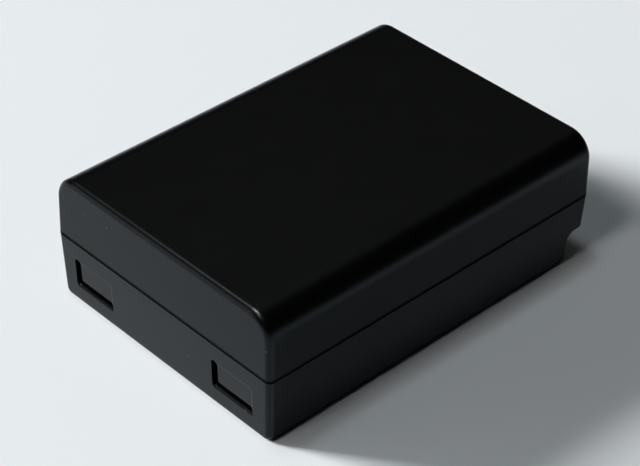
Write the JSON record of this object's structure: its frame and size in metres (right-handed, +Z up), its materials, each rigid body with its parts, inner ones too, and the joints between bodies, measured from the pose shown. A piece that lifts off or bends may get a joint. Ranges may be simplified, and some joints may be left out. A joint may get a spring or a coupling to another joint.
{
  "type": "camera battery",
  "caption": "Flat black camera battery pack: welded case halves with L-shaped key slots in the outer end and recessed contacts in the inner end, around stacked cells and a protection board.",
  "frame": {"origin": "middle of the case's underside", "axes": "+X to the contact end, along the length; +Y across the width; +Z up, from the underside to the smooth top"},
  "size_m": [0.0504, 0.0358, 0.017],
  "materials": {
    "case_plastic": "black, fine satin grain",
    "cell_can": "drawn can",
    "insulator_paper": "pressed paper",
    "tape": "adhesive film",
    "foam": "fine foam",
    "nickel": "rolled nickel",
    "board": "solder mask",
    "chip_plastic": "moulded epoxy",
    "chip_ceramic": "fired",
    "gold_plate": "gold plated"
  },
  "bodies": {
    "root": {"upper_shell": "case_plastic", "lower_shell": "case_plastic", "lower_cell": "cell_can", "upper_cell": "cell_can", "lower_insulator": "insulator_paper", "upper_insulator": "insulator_paper", "bottom_tape": "tape", "cell_tape": "tape", "top_pad": "foam", "end_pad": "foam", "negative_strip": "nickel", "positive_strip": "nickel", "midpoint_strip": "nickel", "lower_link": "nickel", "upper_link": "nickel", "cut_off": "chip_plastic", "circuit_board": "board", "protection_chip": "chip_plastic", "identity_chip": "chip_plastic", "switch_pair": "chip_plastic", "sense_resistor": "chip_ceramic", "resistors": "chip_ceramic", "capacitors": "chip_ceramic", "thermistor": "chip_ceramic", "contact_negative": "gold_plate", "contact_data": "gold_plate", "contact_thermistor": "gold_plate", "contact_positive": "gold_plate"}
  },
  "joints": []
}
